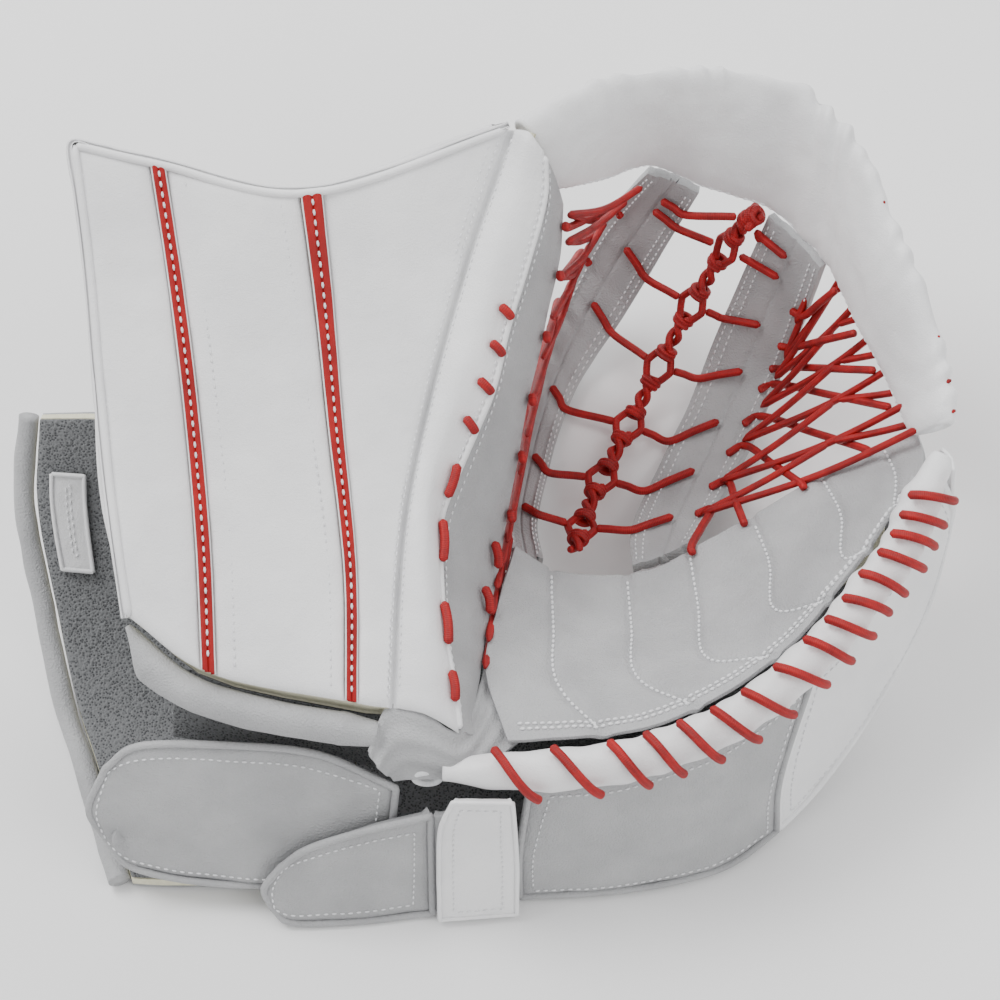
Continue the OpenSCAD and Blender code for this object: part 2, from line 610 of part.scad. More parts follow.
// ---------- wrist ----------
wrist_columns = [
    [[-192, 31, 90], [-196, 6, 60], [-189, -30, 27], [-180, -66, 6], [-168, -100, 1.5], [-158, -132, 1.3], [-153, -146, 1.4]],
    [[-152, 30, 92], [-154, 6, 54], [-152, -30, 20], [-148, -66, 3], [-144, -100, 1], [-142, -134, 0.8], [-140, -147, 1.4]],
    [[-106, 22, 90], [-107, 2, 50], [-107, -30, 17], [-107, -66, 2], [-106, -100, 1], [-105, -136, 0.8], [-105, -147, 1.4]],
    [[-61, 14, 86], [-61, -4, 46], [-61, -32, 14], [-61, -66, 2], [-61, -100, 1], [-61, -136, 0.8], [-61, -147, 1.4]]];
wrist_rails = [for (i = [0:6]) rail([for (c = wrist_columns) c[i]])];
wrist_cells = grid(wrist_rails, steps(0, 1, 15), steps(0, 1, 6));
wrist_foam_top = -leather - gap;
wrist_lining_top = wrist_foam_top - wrist_foam_t - gap;
module wrist_cover() {
    color(white) sheet(wrist_cells, -leather, 0);
}
module wrist_foam() {
    color("LightYellow") sheet(wrist_cells, wrist_foam_top - wrist_foam_t, wrist_foam_top);
}
module wrist_lining() {
    color(dark) sheet(wrist_cells, wrist_lining_top - lining_t, wrist_lining_top);
}
rim_r = 4.5;
module wrist_rim_binding() {
    path = [for (u = steps(0, 1, 20))
        let (here = surface_at(wrist_rails, u, 0))
        let (out = unit(here - surface_at(wrist_rails, u, 0.02)))
        here + out * (rim_r + layer_gap + 0.5) + normal_at(wrist_rails, u, 0) * (wrist_lining_top / 2)];
    color(grey) loft(round_rings(path, [for (p = path) rim_r], 10));
}
// Small pull tab sewn on the lining behind the rim
module wrist_tab() {
    top = wrist_lining_top - lining_t - gap;
    color(white) sheet(grid(wrist_rails, steps(0.1, 0.26, 3), steps(0.05, 0.16, 3)), top - 2, top);
}
// Mesh sleeve between the bottom of the cuff and the wrist strap
module wrist_sleeve() {
    top = rail([[-130, -88, 86.6], [-100, -92, 81.6], [-70, -96, 78.6], [-46, -102, 76.4]]);
    middle = rail([[-133, -98, 74], [-100, -104, 72], [-70, -106, 70], [-46, -114, 68]]);
    foot = rail([[-134, -106, 60], [-100, -110, 58], [-70, -112, 56], [-46, -120, 54]]);
    color(dark) sheet(grid([foot, middle, top], steps(0, 1, 6), steps(0, 1, 12)), -lining_t, 0);
}

// ---------- straps ----------
module wrist_strap_pad() {
    foot = rail([[-162, -138.2, 32], [-152, -145.6, 19.4], [-120, -150.4, 14.2], [-80, -150.6, 14.2], [-46, -147.4, 24]]);
    middle = rail([[-168, -132, 46], [-150, -134, 44], [-118, -138, 42], [-80, -140, 42], [-44, -139, 46]]);
    top = rail([[-160, -122, 64], [-146, -117, 74], [-112, -118, 77], [-74, -121, 75], [-42, -131, 64]]);
    color(grey) sheet(grid([foot, middle, top], steps(0, 1, 8), steps(0, 1, 16)), -wrist_pad_t, 0);
}
strap_foot = rail([[-94, -159.7, 10], [-86, -163.3, 3], [-60, -162.5, 2], [-28, -158.6, 2]]);
strap_middle = rail([[-97, -155.7, 20], [-82, -155.7, 23], [-56, -153.7, 27], [-28, -149.5, 31]]);
strap_top = rail([[-90, -151.7, 32], [-78, -148.7, 44], [-54, -145.7, 55], [-28, -142.5, 62]]);
module hand_strap_pad() {
    color(grey) sheet(grid([strap_foot, strap_middle, strap_top], steps(0, 1, 8), steps(0, 1, 12)), -hand_pad_t, 0);
}
// End of the hand strap that stays under the keeper tab
module strap_anchor() {
    foot = rail([[-27.3, -158.6, 2], [-8, -156.5, 2]]);
    middle = rail([[-27.3, -150, 31], [-8, -148.5, 33]]);
    top = rail([[-27.3, -143, 62], [-8, -142, 64]]);
    color(grey) sheet(grid([foot, middle, top], steps(0, 1, 4), steps(0, 1, 2)), -hand_pad_t + 1, 0);
}
keeper_t = 3;
module keeper_tab() {
    foot = rail([[-25, -162.6, 4], [7, -160, 4]]);
    low = rail([[-25, -158.4, 18], [7, -156, 18]]);
    middle = rail([[-25, -153.6, 34], [7, -152, 34]]);
    top = rail([[-24, -147.2, 60], [6, -147, 60]]);
    head = rail([[-19, -143.6, 77], [5, -144.4, 78]]);
    color(white) sheet(grid([foot, low, middle, top, head], steps(0, 1, 12), steps(0, 1, 4)), -keeper_t, 0);
}
// Loop that the wrist strap hangs from
module webbing_loop() {
    loop_r = 5;
    color(white) translate(place([-29.4, -129.4, 70.6])) rotate([90, 0, 0])
        rotate_extrude($fn = 32) translate([loop_r, 0]) circle(1.5, $fn = 16);
}

cuff_panel_outer();
cuff_panel_centre();
cuff_panel_inner();
cuff_stripe_outer();
cuff_stripe_inner();
cuff_edge_gusset();
cuff_bottom_roll();
cuff_foam();
cuff_board();
cuff_lining();
thumb_cover();
thumb_foam();
thumb_wall();
thumb_back();
thumb_stall();
thumb_lacing();
tee_top_cover();
tee_top_foam();
tee_top_core();
pocket_strip_thumb();
net_thumb_side();
palm_cover();
palm_foam();
palm_lining();
finger_roll();
roll_lacing();
finger_shield();
fingertip_shell();
fingertip_base();
fingertip_end();
hand_board();
hand_back_foam();
hand_back_lining();
index_wall();
finger_dividers();
tee_side_cover();
tee_side_foam();
tee_side_core();
tee_corner_gusset();
pocket_strip_finger();
net_centre_chain();
net_finger_side();
wrist_cover();
wrist_foam();
wrist_lining();
wrist_rim_binding();
wrist_tab();
wrist_sleeve();
strap_anchor();
keeper_tab();
webbing_loop();
wrist_strap_pad();
hand_strap_pad();
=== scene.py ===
# Goalie catch glove, lying on its back with the pocket up. Each section makes one piece or group of pieces,
# in the order in which the glove is put together. Everything is in metres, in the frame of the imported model.
import math
import bmesh
import bpy
import numpy as np
from mathutils import Matrix, Vector, noise


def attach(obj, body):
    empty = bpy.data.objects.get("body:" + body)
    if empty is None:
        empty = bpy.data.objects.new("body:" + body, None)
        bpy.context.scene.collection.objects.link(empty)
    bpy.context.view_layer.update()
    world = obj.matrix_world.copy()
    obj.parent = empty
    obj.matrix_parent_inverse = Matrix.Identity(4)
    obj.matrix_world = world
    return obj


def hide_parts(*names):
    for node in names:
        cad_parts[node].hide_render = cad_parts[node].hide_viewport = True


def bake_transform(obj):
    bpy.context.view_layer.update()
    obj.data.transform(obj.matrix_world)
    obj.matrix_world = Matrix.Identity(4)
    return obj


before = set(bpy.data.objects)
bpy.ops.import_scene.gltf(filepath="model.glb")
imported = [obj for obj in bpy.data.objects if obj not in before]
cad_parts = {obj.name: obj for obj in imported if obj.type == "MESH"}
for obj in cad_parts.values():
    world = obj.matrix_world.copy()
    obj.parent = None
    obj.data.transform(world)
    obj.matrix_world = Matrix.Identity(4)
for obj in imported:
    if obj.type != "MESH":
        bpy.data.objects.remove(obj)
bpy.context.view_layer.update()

# ---------- camera, floor and lights ----------
# The glove lies on a pale table top under two large soft lamps and a pale sky, and the camera looks
# down on it from the strap side.
aim = Vector((0.007, -0.0168, 0.105))
look = Vector((0, math.cos(math.radians(60)), -math.sin(math.radians(60))))
camera = bpy.data.objects.new("camera", bpy.data.cameras.new("camera"))
bpy.context.scene.collection.objects.link(camera)
camera.data.sensor_width = 36
camera.data.lens = 131.7
camera.data.clip_end = 20
camera.location = aim - 1.5 * look
camera.rotation_euler = look.to_track_quat("-Z", "Y").to_euler()
bpy.context.scene.camera = camera

table_mesh = bmesh.new()
bmesh.ops.create_grid(table_mesh, x_segments=2, y_segments=2, size=4)
table_top = bpy.data.objects.new("table_top", bpy.data.meshes.new("table_top"))
table_mesh.to_mesh(table_top.data)
bpy.context.scene.collection.objects.link(table_top)
for name, place, size, power in [("key_lamp", (-0.9, 0.5, 1.7), 1.0, 34), ("fill_lamp", (1.3, -0.9, 1.5), 1.6, 16),
                                 ("back_lamp", (0.5, 1.6, 1.2), 1.2, 14)]:
    lamp = bpy.data.objects.new(name, bpy.data.lights.new(name, "AREA"))
    lamp.data.size = size
    lamp.data.energy = power
    lamp.location = place
    lamp.rotation_euler = (aim - Vector(place)).to_track_quat("-Z", "Y").to_euler()
    bpy.context.scene.collection.objects.link(lamp)
sky = bpy.data.worlds.new("sky")
sky.use_nodes = True
sky.node_tree.nodes["Background"].inputs["Color"].default_value = (1, 1, 1, 1)
sky.node_tree.nodes["Background"].inputs["Strength"].default_value = 0.8
bpy.context.scene.world = sky


class Signal:
    """A number on its way through a material's nodes."""

    def __init__(self, finish, socket):
        self.finish = finish
        self.socket = socket

    def maths(self, operation, *values):
        return Signal(self.finish, self.finish.node("Math", {"operation": operation}, *values).outputs[0])

    def __add__(self, other):
        return self.maths("ADD", self, other)

    def __sub__(self, other):
        return self.maths("SUBTRACT", self, other)

    def __rsub__(self, other):
        return self.maths("SUBTRACT", other, self)

    def __mul__(self, other):
        return self.maths("MULTIPLY", self, other)

    def __pow__(self, other):
        return self.maths("POWER", self, other)

    __radd__ = __add__
    __rmul__ = __mul__


class Finish:
    """One procedural material, built node by node."""

    def __init__(self, name, rough=0.5, coat=0.0, sheen=0.0):
        self.made = bpy.data.materials.new(name)
        self.made.use_nodes = True
        self.tree = self.made.node_tree
        self.shader = self.tree.nodes["Principled BSDF"]
        self.shader.inputs["Roughness"].default_value = rough
        self.shader.inputs["Coat Weight"].default_value = coat
        self.shader.inputs["Coat Roughness"].default_value = 0.3
        self.shader.inputs["Sheen Weight"].default_value = sheen
        self.places = self.node("TexCoord")

    def node(self, kind, settings={}, *values, **named):
        made = self.tree.nodes.new("ShaderNode" + kind)
        for key, value in settings.items():
            if key == "stops":
                while len(made.color_ramp.elements) < len(value):
                    made.color_ramp.elements.new(0.5)
                for element, (at, colour) in zip(made.color_ramp.elements, value):
                    element.position = at
                    element.color = (*colour, 1) if isinstance(colour, tuple) else (colour,) * 3 + (1,)
            else:
                setattr(made, key, value)
        inputs = dict(enumerate(values))
        inputs.update({key.replace("_", " "): value for key, value in named.items()})
        for key, value in inputs.items():
            value = value.socket if isinstance(value, Signal) else value
            if isinstance(value, bpy.types.NodeSocket):
                self.tree.links.new(value, made.inputs[key])
            elif value is not None:
                made.inputs[key].default_value = value
        return made

    def noise(self, scale, detail=3, where="Object"):
        made = self.node("TexNoise", {}, Vector=self.places.outputs[where], Scale=scale, Detail=detail)
        return Signal(self, made.outputs["Fac"])

    def cells(self, scale, feature="F1", where="Object"):
        made = self.node("TexVoronoi", {"feature": feature}, Vector=self.places.outputs[where], Scale=scale)
        return Signal(self, made.outputs["Distance"])

    def bands(self, scale, axis, where="UV", shift=0.0):
        made = self.node("TexWave", {"bands_direction": axis, "wave_profile": "SIN"},
                         Vector=self.places.outputs[where], Scale=scale, Phase_Offset=shift)
        return Signal(self, made.outputs["Fac"])

    def colour(self, amount, stops):
        ramp = self.node("ValToRGB", {"stops": stops}, amount)
        self.tree.links.new(ramp.outputs[0], self.shader.inputs["Base Color"])
        return self

    def roughness(self, amount):
        self.tree.links.new(amount.socket, self.shader.inputs["Roughness"])
        return self

    def bump(self, height, depth, strength=1.0):
        made = self.node("Bump", {}, Height=height, Distance=depth, Strength=strength)
        self.tree.links.new(made.outputs[0], self.shader.inputs["Normal"])
        return self


table_finish = Finish("table_top", rough=0.75)
table_finish.colour(table_finish.noise(3), [(0.3, (0.9, 0.9, 0.9)), (0.7, (0.93, 0.93, 0.93))])
table_top.data.materials.append(table_finish.made)


# ---------- leather cut from the frame's own surfaces ----------
# Each leather piece follows one face of its solid in the frame. The face's points are read in order,
# and a finer skin is drawn through them, with seams, puffs and wrinkles as heights above it.
def weights(count, shares, closed):
    """Part of each of count points in a smooth curve, with one row for each share along it."""
    shares = np.clip(np.atleast_1d(np.asarray(shares, float)), 0, 1)
    last = count if closed else count - 1
    spot = shares * last
    i = np.minimum(np.floor(spot).astype(int), last - 1)
    t = spot - i
    table = np.zeros((len(shares), count))
    rows = np.arange(len(shares))
    for k, w in zip((-1, 0, 1, 2), ((-t + 2 * t ** 2 - t ** 3) / 2, (2 - 5 * t ** 2 + 3 * t ** 3) / 2,
                                    (t + 4 * t ** 2 - 3 * t ** 3) / 2, (t ** 3 - t ** 2) / 2)):
        j = i + k
        if closed:
            np.add.at(table, (rows, j % count), w)
        else:
            inner = np.clip(j, 0, last)
            np.add.at(table, (rows, inner), w * np.where(inner == j, 1, 2))
            mirror = np.where(j < 0, 1, last - 1)
            np.add.at(table, (rows, mirror), np.where(inner == j, 0, -w))
    return table


class Skin:
    """Smooth surface through rows of points: u runs from row to row, v along them."""

    def __init__(self, points, closed, outward):
        self.points = np.array(points)
        self.closed = closed
        self.sign = 1
        here = self.normal([0.5], [0.5])[0]
        self.sign = 1 if here @ np.array(outward) > 0 else -1

    def flat(self, u, v):
        rows = weights(self.points.shape[0], u, False)
        columns = weights(self.points.shape[1], np.mod(v, 1) if self.closed else v, self.closed)
        return np.einsum("nr,nc,rcd->nd", rows, columns, self.points, optimize=True)

    def normal(self, u, v):
        u, v = np.broadcast_arrays(np.atleast_1d(np.asarray(u, float)), np.atleast_1d(np.asarray(v, float)))
        e = 0.01
        du = self.flat(np.minimum(u + e, 1), v) - self.flat(np.maximum(u - e, 0), v)
        high, low = (v + e, v - e) if self.closed else (np.minimum(v + e, 1), np.maximum(v - e, 0))
        dv = self.flat(u, high) - self.flat(u, low)
        n = np.cross(du, dv)
        return self.sign * n / np.maximum(np.linalg.norm(n, axis=1, keepdims=True), 1e-12)

    def at(self, u, v, lift=0.0):
        u, v = np.broadcast_arrays(np.atleast_1d(np.asarray(u, float)), np.atleast_1d(np.asarray(v, float)))
        lift = np.broadcast_to(np.asarray(lift, float), u.shape)
        return self.flat(u, v) + self.normal(u, v) * lift[:, None]

    def span(self):
        """Length along u and along v, through the middle."""
        s = np.linspace(0, 1, 40)
        half = np.full(40, 0.5)
        across = np.linalg.norm(np.diff(self.flat(s, half), axis=0), axis=1).sum()
        return across, np.linalg.norm(np.diff(self.flat(half, s), axis=0), axis=1).sum()


def welded(node):
    mesh = bmesh.new()
    mesh.from_mesh(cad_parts[node].data)
    bmesh.ops.remove_doubles(mesh, verts=mesh.verts, dist=2e-6)
    mesh.normal_update()
    return mesh


def across_edge(first, second, used, faces):
    """The unused triangle of the face set on the edge between two corners, and its third corner."""
    for edge in first.link_edges:
        if edge.other_vert(first) is second:
            for face in edge.link_faces:
                if face in faces and face not in used:
                    used.add(face)
                    return next(v for v in face.verts if v not in (first, second))
    return None


def smooth_patches(faces, bend):
    """Groups of faces that run on without an edge, the widest first."""
    left, patches = set(faces), []
    while left:
        patch, stack = set(), [left.pop()]
        while stack:
            face = stack.pop()
            patch.add(face)
            for edge in face.edges:
                for other in edge.link_faces:
                    if other in left and face.normal.dot(other.normal) > bend:
                        left.discard(other)
                        stack.append(other)
        patches.append(patch)
    return sorted(patches, key=lambda p: -sum(f.calc_area() for f in p))


def leather_face(node, facing, along, bend=0.5):
    """Skin through the face of a sheet node that looks towards facing; v runs along the last vector."""
    mesh = welded(node)
    patches = smooth_patches(mesh.faces, bend)
    facing = Vector(facing)
    best = max(patches[:2], key=lambda p: sum((f.normal * f.calc_area()).dot(facing) for f in p))
    outward = sum((f.normal * f.calc_area() for f in best), Vector())
    count = {}
    for face in best:
        for v in face.verts:
            count[v] = count.get(v, 0) + 1
    rim = {}
    for face in best:
        for edge in face.edges:
            if sum(f in best for f in edge.link_faces) == 1:
                a, b = edge.verts
                rim.setdefault(a, []).append(b)
                rim.setdefault(b, []).append(a)
    corners = [v for v in rim if count[v] == 2]
    ends = [v for v in rim if count[v] == 1]
    if len(corners) != 2 or len(ends) != 2:
        raise SystemExit("face of %s: %d and %d corners" % (node, len(corners), len(ends)))

    def chain(start, following):
        line = [start, following]
        while line[-1] not in ends and line[-1] not in corners:
            line.append(next(v for v in rim[line[-1]] if v is not line[-2]))
        return line
    chains = [chain(c, n) for c in corners for n in rim[c]]
    row = max(chains, key=lambda c: (c[-1].co - c[0].co).normalized().dot(Vector(along)))
    rows, used = [row], set()
    while True:
        nexts = [across_edge(a, b, used, best) for a, b in zip(row, row[1:])]
        if nexts[0] is None:
            break
        head = across_edge(row[0], nexts[0], used, best)
        row = [head] + nexts
        rows.append(row)
        if all(v in rim for v in row):
            break
        for j in range(1, len(row) - 1):
            across_edge(rows[-2][j], row[j + 1], used, best)
    return Skin([[v.co[:] for v in r] for r in rows], False, outward)



def ring_rows(ring, faces, poles):
    """Rings of a tube, each found through the triangles beside the last."""
    rows, used = [ring], set()
    while True:
        nexts = [across_edge(a, b, used, faces) for a, b in zip(ring, ring[1:] + ring[:1])]
        if None in nexts or nexts[0] in poles or len(set(nexts)) < len(ring):
            return rows
        for j in range(len(ring)):
            for partner in (nexts[j], nexts[j - 1]):
                across_edge(ring[j], partner, used, faces)
        turned = nexts[-1:] + nexts[:-1]
        ring = min((nexts, turned), key=lambda row: sum((a.co - b.co).length for a, b in zip(ring, row)))
        rows.append(ring)


def around(start, rim):
    line = [start, rim[start][0]]
    while True:
        following = next(v for v in rim[line[-1]] if v is not line[-2])
        if following is start:
            return line
        line.append(following)


def tube_faces(node, begin=(1, 0, 0), top=(0, 0, 1), bend=0.25):
    """One closed skin for each tube or sleeve of a node: u from the end nearest begin, v around from the side nearest top."""
    mesh = welded(node)
    left, skins = set(mesh.verts), []
    while left:
        part, stack = set(), [left.pop()]
        while stack:
            v = stack.pop()
            part.add(v)
            for edge in v.link_edges:
                other = edge.other_vert(v)
                if other in left:
                    left.discard(other)
                    stack.append(other)
        faces = {f for v in part for f in v.link_faces}
        poles = [v for v in part if all(len(e.other_vert(v).link_edges) < 6 for e in v.link_edges)]
        if len(poles) == 2:
            pole = max(poles, key=lambda v: v.co.dot(Vector(begin)))
            rim = {}
            for face in pole.link_faces:
                a, b = [v for v in face.verts if v is not pole]
                rim.setdefault(a, []).append(b)
                rim.setdefault(b, []).append(a)
            wall = faces - set(pole.link_faces)
        else:
            wall = smooth_patches(faces, bend)[0]
            rim = {}
            for face in wall:
                for edge in face.edges:
                    if sum(f in wall for f in edge.link_faces) == 1:
                        a, b = edge.verts
                        rim.setdefault(a, []).append(b)
                        rim.setdefault(b, []).append(a)
            first = max(rim, key=lambda v: v.co.dot(Vector(begin)))
            rim = {v: rim[v] for v in around(first, rim)}
        first = max(rim, key=lambda v: v.co.dot(Vector(top)))
        rows = ring_rows(around(first, rim), wall, poles)
        points = np.array([[v.co[:] for v in row] for row in rows])
        skins.append(Skin(points, True, points[len(points) // 2, 0] - points[len(points) // 2].mean(0)))
    return skins



def spread(name, skin, steps, lift=None, u=(0, 1), v=(0, 1), shift=None):
    """A fine grid laid over part of a skin, raised by lift(u, v) and moved by shift, with a UV map in metres."""
    mesh = bmesh.new()
    bmesh.ops.create_grid(mesh, x_segments=steps[0], y_segments=steps[1], size=0.5)
    flat = np.array([p.co[:2] for p in mesh.verts]) + 0.5
    uu = u[0] + (u[1] - u[0]) * flat[:, 0]
    vv = v[0] + (v[1] - v[0]) * flat[:, 1]
    places = skin.at(uu, vv, 0 if lift is None else lift(uu, vv))
    if shift is not None:
        places = shift(places, uu, vv)
    across, along = skin.span()
    layer = mesh.loops.layers.uv.new("UVMap")
    for face in mesh.faces:
        for loop in face.loops:
            x, y = loop.vert.co[:2]
            loop[layer].uv = ((u[0] + (u[1] - u[0]) * (x + 0.5)) * across, (v[0] + (v[1] - v[0]) * (y + 0.5)) * along)
    for vert, place in zip(mesh.verts, places):
        vert.co = place
    mesh.normal_update()
    if skin.closed:
        bmesh.ops.remove_doubles(mesh, verts=mesh.verts, dist=1e-6)
    n = Vector(skin.normal([uu.mean()], [vv.mean()])[0])
    middle = Vector(skin.at([uu.mean()], [vv.mean()])[0])
    nearest = min(mesh.faces, key=lambda f: (f.calc_center_median() - middle).length)
    if nearest.normal.dot(n) < 0:
        bmesh.ops.reverse_faces(mesh, faces=mesh.faces)
    return mesh


def finished(name, mesh, body, finishes, stands_for=(), wall=0.0, slot=None, blend=None, closed=False):
    """Makes a mesh a smooth piece of the glove, with a wall under it, on its body, or fixed in place on no body when
    blend is given.
    """
    piece = bpy.data.objects.new(name, bpy.data.meshes.new(name))
    if closed:
        bmesh.ops.holes_fill(mesh, edges=mesh.edges, sides=0)
    mesh.to_mesh(piece.data)
    mesh.free()
    piece.data.shade_smooth()
    bpy.context.scene.collection.objects.link(piece)
    for finish in finishes:
        piece.data.materials.append(finish.made)
    if wall:
        solid = piece.modifiers.new("wall", "SOLIDIFY")
        solid.thickness = wall
        solid.offset = -1
        edge = piece.modifiers.new("edge", "BEVEL")
        edge.width = min(wall, 0.0022) * 0.4
        edge.segments = 2
        edge.limit_method = "ANGLE"
        edge.angle_limit = math.radians(50)
    if stands_for:
        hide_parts(*stands_for)
    if blend:
        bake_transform(piece)
    else:
        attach(piece, body)
    return piece


def rim_drop(skin, depth, width, u=(0, 1), v=(0, 1)):
    """Lift that falls away within width of the four edges, as a padded panel's does at its seams."""
    across, along = skin.span()

    def lift(uu, vv):
        d = np.minimum(np.minimum(uu - u[0], u[1] - uu) * across, np.minimum(vv - v[0], v[1] - vv) * along)
        t = np.clip(d / width, 0, 1)
        return depth * (np.sqrt(np.clip(1 - (1 - t) ** 2, 0, 1)) - 1)
    return lift


def crumple(places, scale, seed):
    """Soft uneven noise at each place, from -1 to 1."""
    return np.array([noise.noise(Vector(p) * scale + Vector((seed, seed * 2, 0))) for p in places])


grain_white = Finish("white_leather", rough=0.42, coat=0.12)
smudge = grain_white.noise(22, 4)
grain_white.colour(smudge, [(0.3, (0.78, 0.78, 0.79)), (0.65, (0.88, 0.88, 0.885))])
grain_white.roughness(grain_white.noise(60) * 0.18 + 0.34)
grain_white.bump(grain_white.cells(1500) * 0.35 + grain_white.noise(3200) * 0.3 + grain_white.noise(140, 4) * 1.2, 0.00035)
grain_grey = Finish("grey_leather", rough=0.5)
smudge = grain_grey.noise(35, 5)
grain_grey.colour(smudge, [(0.3, (0.36, 0.362, 0.37)), (0.7, (0.45, 0.453, 0.46))])
grain_grey.roughness(grain_grey.noise(80) * 0.2 + 0.4)
grain_grey.bump(grain_grey.cells(1100) * 0.8 + grain_grey.noise(2600) * 0.5 + grain_grey.noise(120, 4) * 0.9, 0.0004)
thread_white = Finish("white_thread", rough=0.7, sheen=0.3)
thread_white.colour(thread_white.noise(900), [(0.3, (0.74, 0.75, 0.77)), (0.7, (0.9, 0.9, 0.91))])
thread_white.bump(thread_white.noise(4000), 0.0002)


def sew(name, body, lines, every=0.0034, length=0.0023, thick=0.00042, finish=None, blend=None):
    """Rows of stitches: each line is (places, normals) along a seam."""
    mesh = bmesh.new()
    for places, normals in lines:
        steps = np.linalg.norm(np.diff(places, axis=0), axis=1)
        run = np.concatenate([[0], np.cumsum(steps)])
        for s in np.arange(every / 2, run[-1] - length / 2, every):
            here = np.array([np.interp(s, run, places[:, k]) for k in range(3)])
            ahead = np.array([np.interp(min(s + 0.001, run[-1]), run, places[:, k]) for k in range(3)])
            back = np.array([np.interp(max(s - 0.001, 0), run, places[:, k]) for k in range(3)])
            up = np.array([np.interp(s, run, normals[:, k]) for k in range(3)])
            x = Vector(ahead - back).normalized()
            z = Vector(up).normalized()
            y = z.cross(x).normalized()
            turn = Matrix((x * (length / 2), y * thick, x.cross(y) * thick)).transposed().to_4x4()
            bmesh.ops.create_uvsphere(mesh, u_segments=6, v_segments=4, radius=1,
                                      matrix=Matrix.Translation(Vector(here) + z * thick * 0.5) @ turn)
    return finished(name, mesh, body, [finish or thread_white], blend=blend)


def seam(skin, u, v, lift=0.0, count=60):
    """Places and normals along a line on a skin, through points of u and v."""
    share = np.linspace(0, 1, count)
    uu = np.interp(share, np.linspace(0, 1, len(np.atleast_1d(u))), np.atleast_1d(u)) if np.size(u) > 1 else np.full(count, u)
    vv = np.interp(share, np.linspace(0, 1, len(np.atleast_1d(v))), np.atleast_1d(v)) if np.size(v) > 1 else np.full(count, v)
    height = lift(uu, vv) if callable(lift) else lift
    return skin.at(uu, vv, height), skin.normal(uu, vv)


def pipe(mesh, places, radius, sides=10, twist=0.0, ridge=0.0, close=False, strands=3, ends=0.35):
    """Adds a round bar along places to a mesh; twist turns ridges round it, in turns for each metre."""
    places = np.asarray(places, float)
    count = len(places)
    along = np.gradient(places, axis=0)
    along /= np.maximum(np.linalg.norm(along, axis=1, keepdims=True), 1e-12)
    side = np.cross(along[0], (0, 0, 1.0) if abs(along[0][2]) < 0.8 else (1.0, 0, 0))
    sides_now = []
    for t in along:
        side = side - (side @ t) * t
        side = side / np.linalg.norm(side)
        sides_now.append(side)
    side = np.array(sides_now)
    other = np.cross(along, side)
    run = np.concatenate([[0], np.cumsum(np.linalg.norm(np.diff(places, axis=0), axis=1))])
    radius = np.broadcast_to(np.asarray(radius, float), count)
    part = bmesh.new()
    bmesh.ops.create_grid(part, x_segments=count - 1, y_segments=sides, size=0.5)
    layer = part.loops.layers.uv.new("UVMap")
    flat = np.array([p.co[:2] for p in part.verts]) + 0.5
    row = np.clip(np.rint(flat[:, 0] * (count - 1)).astype(int), 0, count - 1)
    angle = flat[:, 1] * 2 * math.pi
    taper = np.clip(np.minimum(run[row], run[-1] - run[row]) / (radius[row] * 0.7 + 1e-9), 0, 1)
    grow = ends + (1 - ends) * np.sqrt(np.clip(1 - (1 - taper) ** 2, 0, 1)) if not close else 1.0
    r = radius[row] * (1 + ridge * np.cos(strands * angle - 2 * math.pi * twist * run[row])) * grow
    made = places[row] + side[row] * (np.cos(angle) * r)[:, None] + other[row] * (np.sin(angle) * r)[:, None]
    for face in part.faces:
        for loop in face.loops:
            x, y = loop.vert.co[:2]
            loop[layer].uv = (run[min(count - 1, max(0, round((x + 0.5) * (count - 1))))], y + 0.5)
    for vert, place in zip(part.verts, made):
        vert.co = place
    bmesh.ops.remove_doubles(part, verts=part.verts, dist=1e-7)
    bmesh.ops.holes_fill(part, edges=part.edges, sides=0)
    bmesh.ops.recalc_face_normals(part, faces=part.faces)
    spare = bpy.data.meshes.new("part")
    part.to_mesh(spare)
    part.free()
    mesh.from_mesh(spare)
    bpy.data.meshes.remove(spare)


def fair(places, count):
    """Smooth curve through a few places."""
    return np.einsum("nr,rd->nd", weights(len(places), np.linspace(0, 1, count), False), np.asarray(places, float))


def spines(node):
    """The middle line and radius of each lace of a node."""
    mesh = welded(node)
    left, lines = set(mesh.verts), []
    while left:
        part, stack = {left.pop()}, []
        stack = list(part)
        while stack:
            for edge in stack.pop().link_edges:
                for other in edge.verts:
                    if other in left:
                        left.discard(other)
                        part.add(other)
                        stack.append(other)
        ends = sorted(part, key=lambda v: -len(v.link_edges))[:2]
        layer, seen, rows = [ends[0]], {ends[0]}, []
        while layer:
            rows.append(layer)
            layer = list({e.other_vert(v) for v in layer for e in v.link_edges} - seen)
            seen.update(layer)
        rows = [r for r in rows if len(r) > 3]
        middles = [np.mean([v.co[:] for v in r], axis=0) for r in rows]
        radii = [np.mean([(v.co - Vector(m)).length for v in r]) for r, m in zip(rows, middles)]
        lines.append((np.array(middles), np.array(radii)))
    return lines


# ---------- cuff ----------
# The cuff is a thick foam slab in smooth white leather: three panels, puffed a little between their seams,
# with piping round the edge, a stitched side wall and a soft grey roll under its bottom edge.
front = {}
for which, length in [("outer", 34), ("centre", 53), ("inner", 42)]:
    skin = leather_face("cuff_panel_" + which, (0, 0, 1), (0, -1, 0))
    front[which] = skin
    drop = rim_drop(skin, 0.0022, 0.007)

    def puffed(uu, vv, skin=skin, drop=drop):
        places = skin.at(uu, vv)
        return drop(uu, vv) + 0.0006 + 0.0009 * crumple(places, 26, 3) + 0.0004 * crumple(places, 75, 5)
    mesh = spread(which, skin, (40, 150), puffed)
    finished("cuff_" + which + "_leather", mesh, "thumb", [grain_white], ["cuff_panel_" + which], 0.0018, "white_leather")
rows = []
for u in (0.9, 0.955):
    rows.append(seam(front["inner"], [u, u], [0.02, 0.99], 0.0002, 120))
